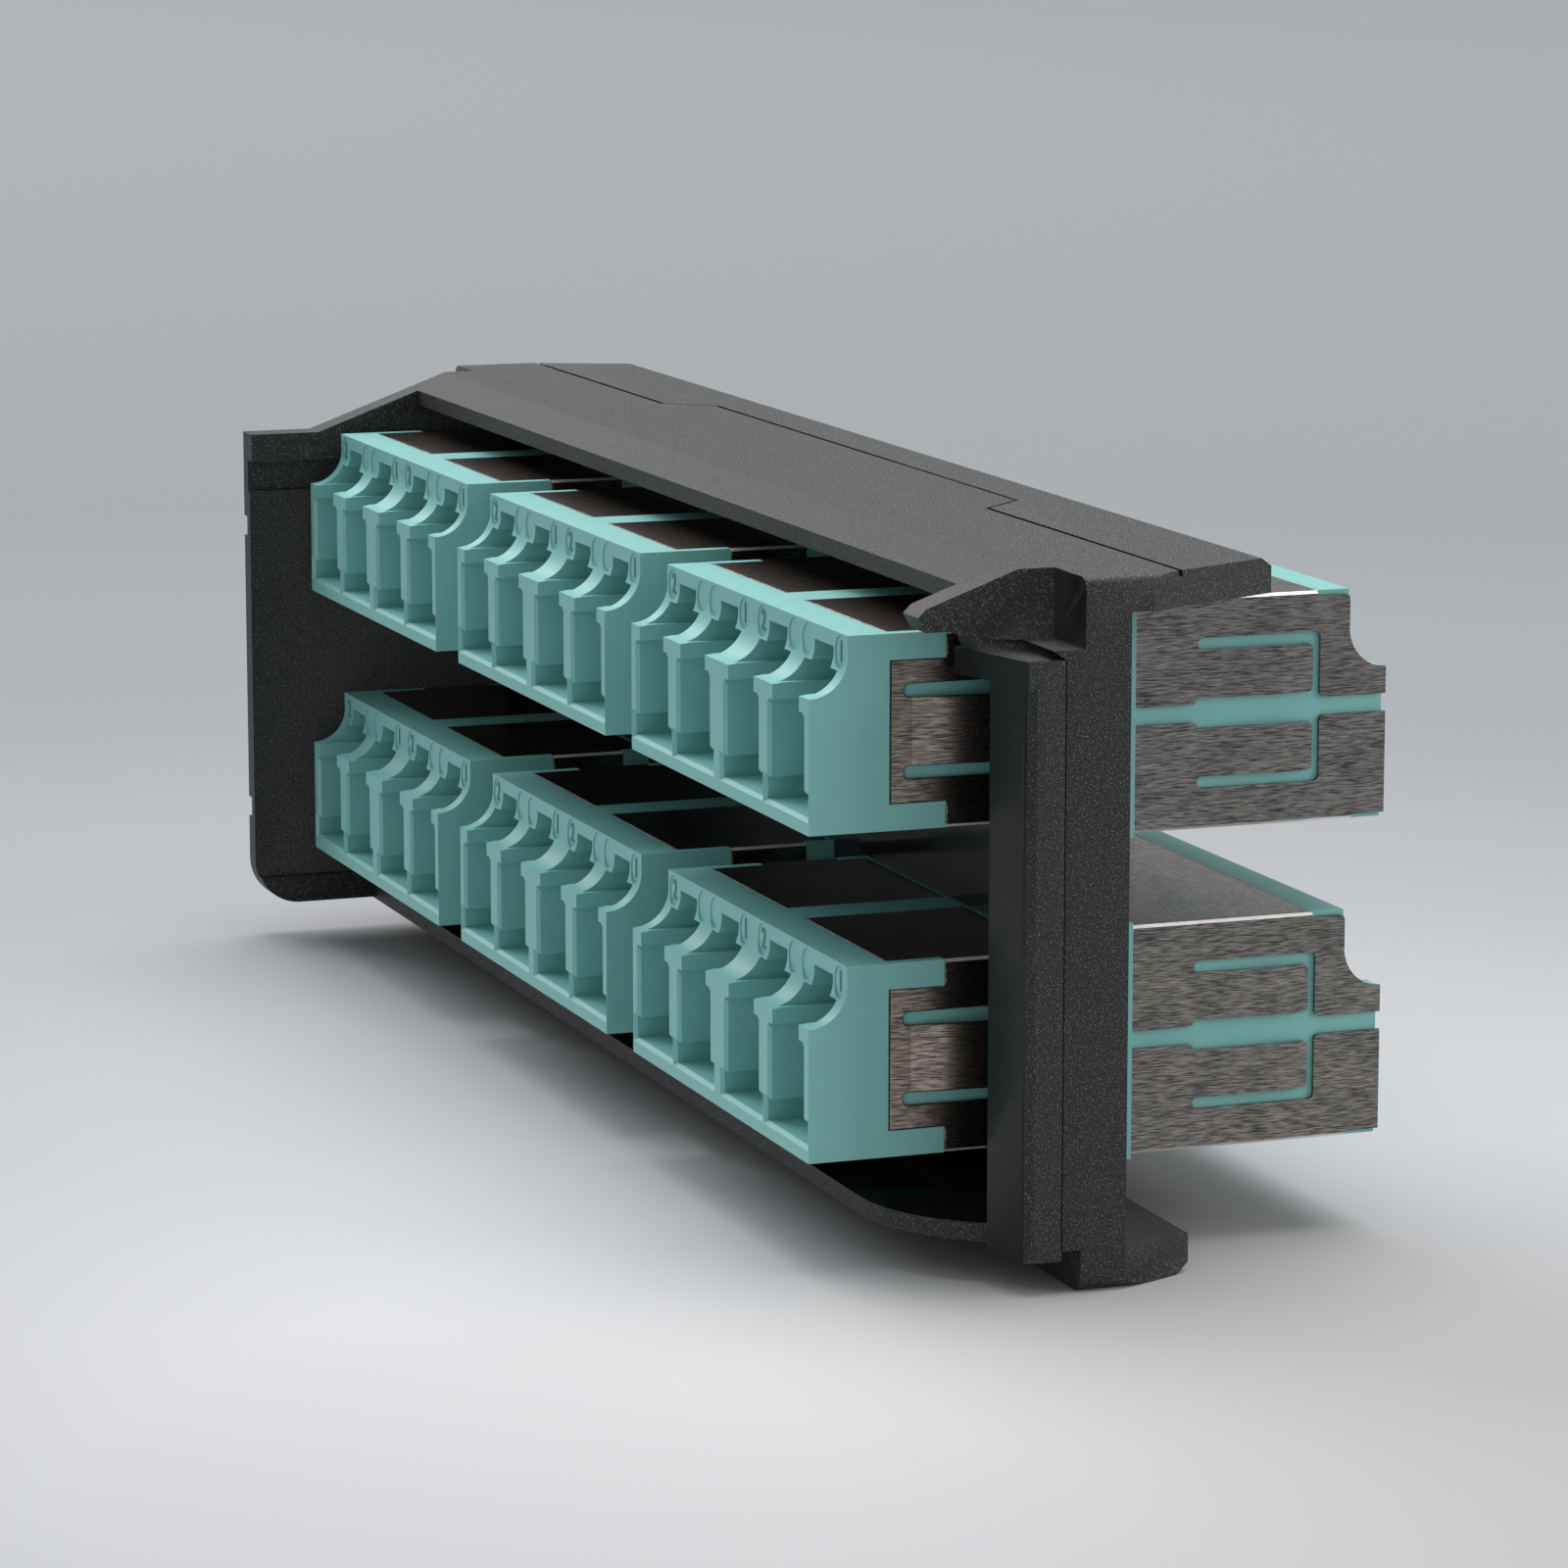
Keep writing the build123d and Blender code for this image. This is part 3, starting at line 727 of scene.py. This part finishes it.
def white_ceramic():
    """Polished zirconia with a faint cloud in its gloss."""
    material, tree, shader = new_material("white_ceramic")
    place = tree.nodes.new("ShaderNodeTexCoord")
    cloud = noise(tree, place, 1500, 2.0)
    shade = ramp(tree, cloud, LOW, HIGH, (0.80, 0.79, 0.76, 1), (0.88, 0.87, 0.85, 1))
    tree.links.new(shade, shader.inputs["Base Color"])
    tree.links.new(span(tree, cloud, LOW, HIGH, 0.12, 0.2), shader.inputs["Roughness"])
    return material


def dress(piece, *materials):
    """Give a piece its materials, in the order of its faces' indices."""
    if piece.data.materials:
        piece.data.materials.clear()
    for material in materials:
        piece.data.materials.append(material)


class FinishFrame(bpy.types.Operator):
    """Round the edges of the moulded frame and give it its grained black plastic"""

    bl_idname = "fibre_plate.finish_frame"
    bl_label = "Finish frame"

    def execute(self, context):
        settings = context.scene.plate_moulding
        build = merged_copy(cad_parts["frame"])
        outer_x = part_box("frame")[1][0] - PARTING_DEPTH
        narrow_groove(build, PARTING_Y, PARTING_REACH, PARTING_SHARE, outer_x)
        corner = (WALL_X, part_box("frame")[0][1])
        widen_notches(build, corner, NOTCH_HEIGHTS, NOTCH_REACH, NOTCH_SHARE)
        for face in build.faces:
            face.material_index = self.finish_of(face)
        mark_soft_edges(build, settings.frame_edge)
        ease_edges(build, REAR_EASE, lambda spot: spot.y > POST_FRONT_Y)
        width = settings.frame_edge
        piece = new_piece("moulded_frame", build, width, 3, FRAME_CREASE)
        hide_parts("frame")
        dress(
            piece,
            grained_black("grained_black_plastic", settings, 1.0),
            # the roof's grain, paled by a painted sheen of light
            grained_black("sheen_painted_black_plastic", settings, settings.roof_painted_sheen),
            polished_black("satin_black_plastic", settings, *SATIN),
            polished_black("polished_black_plastic", settings, *POLISHED),
        )
        return {"FINISHED"}

    def finish_of(self, face):
        """0 for the grain, 1 for the roof's painted sheen, 2 for satin and 3 for
        polish.
        """
        middle = face.calc_center_median()
        if face.normal.z > FACING:
            if middle.z > ROOF_FROM_Z:
                # the roof gets the painted sheen
                return 1
            return 3 if middle.z < FLOOR_TO_Z and middle.y < PARTING_Y else 0
        if face.normal.y < -FACING:
            if middle.y > POST_FRONT_Y:
                return 3
            return 2 if abs(middle.x) > RAIL_FROM_X else 0
        return 0


class FinishHousings(bpy.types.Operator):
    """Carve and round the adapter housings and give them their aqua plastic"""

    bl_idname = "fibre_plate.finish_housings"
    bl_label = "Finish housings"

    def execute(self, context):
        settings = context.scene.plate_moulding
        material = aqua_plastic(settings)
        for node in nodes_called(("front_housing",)):
            place = adapter_centre(node.name)
            cutters = self.nose_cutter(place)
            for x in PORT_CENTRES:
                middle = place + Vector((x, 0, 0))
                for side in (-1, 1):
                    spot = Vector((side * SCOOP_OFFSET, SCOOP_FLOOR_Y, SCOOP_Z))
                    spot += middle
                    add_oval(cutters, spot, SCOOP_WIDTH, SCOOP_HEIGHT, SCOOP_REACH)
                for zone in MOUTH_ZONES:
                    add_lead_in(cutters, middle, *zone, LEAD_IN)
            self.finish(node, carve(merged_copy(node), cutters), material, settings)
        for node in nodes_called(("rear_housing",)):
            place = adapter_centre(node.name)
            place.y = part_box(node.name)[1][1]
            build = carve(merged_copy(node), self.nose_cutter(place))
            ends = [face for face in build.faces if face.normal.y > SQUARE]
            bmesh.ops.triangulate(build, faces=ends)
            self.finish(node, build, material, settings)
        return {"FINISHED"}

    def nose_cutter(self, place):
        """A bmesh with the rod that hollows the nose of one end of an adapter."""
        cutters = bmesh.new()
        add_rod(cutters, NOSE_RADIUS, ROD_LENGTH, place + Vector((0, 0, NOSE_Z)))
        return cutters

    def finish(self, node, build, material, settings):
        mark_soft_edges(build, settings.housing_edge)
        name = node.name.replace("housing", "moulding")
        piece = new_piece(name, build, settings.housing_edge)
        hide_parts(node.name)
        dress(piece, material)


class FinishShields(bpy.types.Operator):
    """Round the edges and plate corners of the shields and give them their brushed
    steel
    """

    bl_idname = "fibre_plate.finish_shields"
    bl_label = "Finish shields"

    def execute(self, context):
        settings = context.scene.plate_steel
        fold_highlight = painted_fold_highlight()
        painted_leaf_steel = brushed_steel("leaf_steel_painted_highlight", settings.leaf_highlight_colour, settings)
        front = brushed_steel("front_steel", settings.front_colour, settings)
        rear = brushed_steel("rear_steel", settings.rear_colour, settings)
        for node in nodes_called(FRONT_SHIELDS):
            build = merged_copy(node)
            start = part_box(node.name)[0][1] + SHEET_CORNER_ZONE
            round_corners(build, settings.plate_round, lambda spot: spot.y < start)
            round_corners(build, settings.slot_round, lambda spot: spot.y > start)
            stretch_end(build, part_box(node.name)[1][1], SHIELD_GAP)
            self.finish(node, build, (front, fold_highlight, painted_leaf_steel), settings)
        for node in nodes_called(REAR_SHIELDS):
            build = merged_copy(node)
            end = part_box(node.name)[1][1] - SHEET_CORNER_ZONE
            round_corners(build, settings.slot_round, lambda spot: spot.y < end)
            if "rear_upper" in node.name:
                place = adapter_centre(node.name.replace("upper_shield", "housing"))
                place.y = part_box(node.name)[1][1]
                cutters = bmesh.new()
                reach = NOSE_RADIUS + SHEET_FIT
                middle = place + Vector((0, 0, NOSE_Z))
                add_rod(cutters, reach, ROD_LENGTH, middle)
                build = carve(build, cutters)
            self.finish(node, build, (rear, fold_highlight, rear), settings)
        return {"FINISHED"}

    def finish(self, node, build, materials, settings):
        """The folds take the second material, a painted highlight, and the leaves the
        third, steel with a painted highlight.
        """
        for face in build.faces:
            # the faces of the folds get the painted highlight
            if min(abs(face.normal.x), abs(face.normal.z)) > FOLD_LEAN:
                face.material_index = 1
            # the bent-out leaves get the steel with the painted highlight
            elif abs(face.normal.x) > SQUARE and abs(face.normal.y) > LEAF_LEAN:
                face.material_index = 2
        mark_soft_edges(build, settings.sheet_edge, FOLD_ANGLE)
        name = node.name.replace("shield", "sheet")
        width = settings.sheet_edge
        piece = new_piece(name, build, width, 3, SHEET_CREASE)
        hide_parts(node.name)
        dress(piece, *materials)


class AddNumerals(bpy.types.Operator):
    """Raise the port numerals in the outer scoops of each pair of ports"""

    bl_idname = "fibre_plate.add_numerals"
    bl_label = "Add numerals"

    def execute(self, context):
        settings = context.scene.plate_numerals
        material = numeral_painted_shade_plastic(context.scene.plate_moulding)
        for node in nodes_called(("front_housing",)):
            place = adapter_centre(node.name)
            build = bmesh.new()
            for x, side, word in zip(PORT_CENTRES, NUMERAL_SIDES, NUMERAL_WORDS):
                spot = Vector((x + side * SCOOP_OFFSET, SCOOP_FLOOR_Y, SCOOP_Z))
                add_word(build, word, place + spot, settings)
            name = node.name.replace("front_housing", "numerals")
            piece = new_piece(name, build)
            dress(piece, material)
        return {"FINISHED"}


class FinishSleeves(bpy.types.Operator):
    """Give the ferrule sleeves their white ceramic"""

    bl_idname = "fibre_plate.finish_sleeves"
    bl_label = "Finish sleeves"

    def execute(self, context):
        material = white_ceramic()
        for node in nodes_called(("sleeves",)):
            dress(node, material)
        return {"FINISHED"}


# Stage

CAMERA_PLACE = (0.295602, -0.107724, 0.072440)
CAMERA_AZIMUTH = 69.745
CAMERA_ELEVATION = 10.169
FLOOR_RADIUS = 6.0
# the painted pool of light is longer ahead of the plate than behind it; its fade is
# (share of reach, share of the pool's colour)
PAINTED_LIGHT_CENTRE = (0.055, -0.02, 0)
PAINTED_LIGHT_STRETCH = (2.3, 1.1)
PAINTED_LIGHT_REACH = 0.3
PAINTED_LIGHT_FADE = ((0.087, 0.83), (0.223, 0.62), (0.267, 0.56), (0.4, 0.3), (0.587, 0.1))
# a painted shadow: the floor's colour darkened around a point beside the plate's right
# end
SHADE_CENTRE = (0.1, 0.01, 0)
SHADE_REACH = 0.075
SHADE_DEPTH = 0.22
# name, place, side in metres and power in watts
LAMPS = (
    ("overhead", (-0.45, 0.55, 3.0), 2.6, 74.0),
    ("left", (-1.82, -0.6, 1.6), 1.5, 28.0),
    ("right", (0.8, 1.3, 0.5), 1.0, 9.0),
)
LAMP_AIM = (0, 0, 0.02)


def painted_floor_shadow(tree, place):
    """How much of its colour the floor keeps under a painted shadow, least beside the
    plate's right end.
    """
    gap = tree.nodes.new("ShaderNodeVectorMath")
    gap.operation = "DISTANCE"
    gap.inputs[1].default_value = SHADE_CENTRE
    tree.links.new(place.outputs["Object"], gap.inputs[0])
    share = math_node(tree, "DIVIDE", gap.outputs["Value"], SHADE_REACH)
    square = math_node(tree, "MULTIPLY", share, share, clamp=True)
    return span(tree, square, 0, 1, 1 - SHADE_DEPTH, 1)


def make_floor(settings):
    """A plain floor, palest in a painted pool of light around the plate, darkened by a
    painted shadow beside its right end.
    """
    mesh = bpy.data.meshes.new("floor")
    build = bmesh.new()
    bmesh.ops.create_circle(build, cap_ends=True, segments=96, radius=FLOOR_RADIUS)
    build.to_mesh(mesh)
    build.free()
    floor = bpy.data.objects.new("floor", mesh)
    bpy.context.scene.collection.objects.link(floor)
    material, tree, shader = new_material("pale_floor")
    place = tree.nodes.new("ShaderNodeTexCoord")
    split = tree.nodes.new("ShaderNodeSeparateXYZ")
    tree.links.new(place.outputs["Object"], split.inputs[0])
    axes = split.outputs
    across = math_node(tree, "SUBTRACT", axes["X"], PAINTED_LIGHT_CENTRE[0])
    along = math_node(tree, "SUBTRACT", axes["Y"], PAINTED_LIGHT_CENTRE[1])
    ahead = math_node(tree, "MINIMUM", along, 0)
    ahead = math_node(tree, "MULTIPLY", ahead, PAINTED_LIGHT_STRETCH[0])
    behind = math_node(tree, "MAXIMUM", along, 0)
    behind = math_node(tree, "MULTIPLY", behind, PAINTED_LIGHT_STRETCH[1])
    along = math_node(tree, "ADD", ahead, behind)
    centred = tree.nodes.new("ShaderNodeCombineXYZ")
    tree.links.new(across, centred.inputs[0])
    tree.links.new(along, centred.inputs[1])
    length = tree.nodes.new("ShaderNodeVectorMath")
    length.operation = "LENGTH"
    tree.links.new(centred.outputs[0], length.inputs[0])
    far = settings.floor_colour
    near = settings.painted_light_pool_colour
    fade = tree.nodes.new("ShaderNodeValToRGB")
    stops = fade.color_ramp.elements
    stops[0].position, stops[0].color = 0.0, near
    stops[1].position, stops[1].color = 1.0, far
    # the painted light fades out towards the plain floor colour
    for position, share in PAINTED_LIGHT_FADE:
        stop = stops.new(position)
        stop.color = [f + (n - f) * share for f, n in zip(far, near)]
    reach = span(tree, length.outputs["Value"], 0, PAINTED_LIGHT_REACH, 0, 1)
    tree.links.new(reach, fade.inputs[0])
    colour = tree.nodes.new("ShaderNodeVectorMath")
    colour.operation = "SCALE"
    tree.links.new(fade.outputs["Color"], colour.inputs[0])
    # the painted shadow darkens the floor's colour
    tree.links.new(painted_floor_shadow(tree, place), colour.inputs["Scale"])
    tree.links.new(colour.outputs[0], shader.inputs["Base Color"])
    shader.inputs["Roughness"].default_value = 0.9
    shader.inputs["Specular IOR Level"].default_value = 0.1
    mesh.materials.append(material)


def add_lamp(name, place, size, power):
    """A square lamp that faces the plate."""
    lamp = bpy.data.lights.new(name, "AREA")
    lamp.shape = "RECTANGLE"
    lamp.size = lamp.size_y = size
    lamp.energy = power
    holder = bpy.data.objects.new(name, lamp)
    bpy.context.scene.collection.objects.link(holder)
    holder.location = place
    direction = Vector(LAMP_AIM) - Vector(place)
    holder.rotation_euler = direction.to_track_quat("-Z", "Y").to_euler()


def make_camera(settings):
    """The camera at the photo's place, level across and turned about Z."""
    camera = bpy.data.cameras.new("camera")
    camera.sensor_width = 36.0
    camera.lens = settings.lens
    camera.clip_start = 0.01
    camera.clip_end = 50.0
    holder = bpy.data.objects.new("camera", camera)
    bpy.context.scene.collection.objects.link(holder)
    bpy.context.scene.camera = holder
    turn = math.radians(CAMERA_AZIMUTH)
    tilt = math.radians(CAMERA_ELEVATION)
    back = Vector(
        (
            math.sin(turn) * math.cos(tilt),
            -math.cos(turn) * math.cos(tilt),
            math.sin(tilt),
        )
    )
    right = Vector((0, 0, 1)).cross(back).normalized()
    up = back.cross(right)
    axes = Matrix((right, up, back)).transposed().to_4x4()
    holder.matrix_world = Matrix.Translation(CAMERA_PLACE) @ axes


class MakeStage(bpy.types.Operator):
    """Lay the floor, hang the lamps and set up the camera"""

    bl_idname = "fibre_plate.make_stage"
    bl_label = "Make stage"

    def execute(self, context):
        settings = context.scene.plate_stage
        context.scene.view_settings.view_transform = "Standard"
        make_floor(settings)
        make_camera(settings)
        world = bpy.data.worlds.new("studio")
        world.use_nodes = True
        sky = world.node_tree.nodes["Background"]
        sky.inputs["Color"].default_value = settings.sky_colour
        sky.inputs["Strength"].default_value = 1.0
        context.scene.world = world
        for lamp in LAMPS:
            add_lamp(*lamp)
        return {"FINISHED"}


class FibrePlatePanel(bpy.types.Panel):
    """Settings and steps of the fibre adapter plate"""

    bl_idname = "FIBRE_PLATE_PT_steps"
    bl_label = "Fibre plate"
    bl_space_type = "VIEW_3D"
    bl_region_type = "UI"
    bl_category = "Fibre plate"

    def draw(self, context):
        for group in SETTINGS:
            box = self.layout.box()
            values = getattr(context.scene, group)
            for key in values.__annotations__:
                box.prop(values, key)
        for step in STEPS:
            self.layout.operator(step)


SETTINGS = {
    "plate_moulding": MouldingSettings,
    "plate_steel": SteelSettings,
    "plate_numerals": NumeralSettings,
    "plate_stage": StageSettings,
}
OPERATORS = (
    FinishFrame,
    FinishHousings,
    AddNumerals,
    FinishShields,
    FinishSleeves,
    MakeStage,
)
STEPS = [operator.bl_idname for operator in OPERATORS]


def register():
    for group in SETTINGS.values():
        bpy.utils.register_class(group)
    for operator in OPERATORS:
        bpy.utils.register_class(operator)
    bpy.utils.register_class(FibrePlatePanel)
    for name, group in SETTINGS.items():
        setattr(bpy.types.Scene, name, PointerProperty(type=group))


def unregister():
    for name in SETTINGS:
        delattr(bpy.types.Scene, name)
    bpy.utils.unregister_class(FibrePlatePanel)
    for operator in reversed(OPERATORS):
        bpy.utils.unregister_class(operator)
    for group in SETTINGS.values():
        bpy.utils.unregister_class(group)


def main():
    register()
    for step in STEPS:
        group, name = step.split(".")
        getattr(getattr(bpy.ops, group), name)()


if __name__ == "__main__":
    main()
